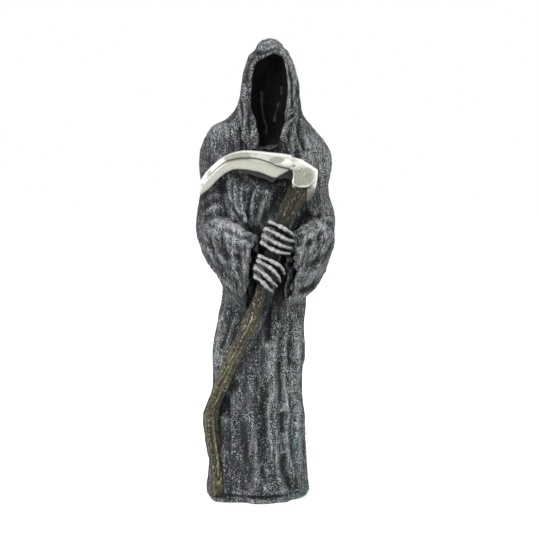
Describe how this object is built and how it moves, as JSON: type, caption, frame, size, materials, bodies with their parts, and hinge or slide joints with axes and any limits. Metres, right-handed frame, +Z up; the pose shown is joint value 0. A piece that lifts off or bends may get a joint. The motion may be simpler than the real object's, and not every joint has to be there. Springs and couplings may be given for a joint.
{
  "type": "grim reaper statue",
  "caption": "Standing hooded figure with an empty hood, cast in one piece, holding a curved scythe before its chest with two skeletal hands.",
  "frame": {"origin": "on the flat underside, on the vertical line through the neck", "axes": "+Z up towards the hood, -Y the way the figure faces, +X the viewer's right when facing it"},
  "size_m": [0.0904, 0.0732, 0.3],
  "materials": {
    "painted_resin": "near-black paint, dry-brushed with pale grey along the folds"
  },
  "bodies": {
    "root": {"reaper_statue": "painted_resin"}
  },
  "joints": []
}
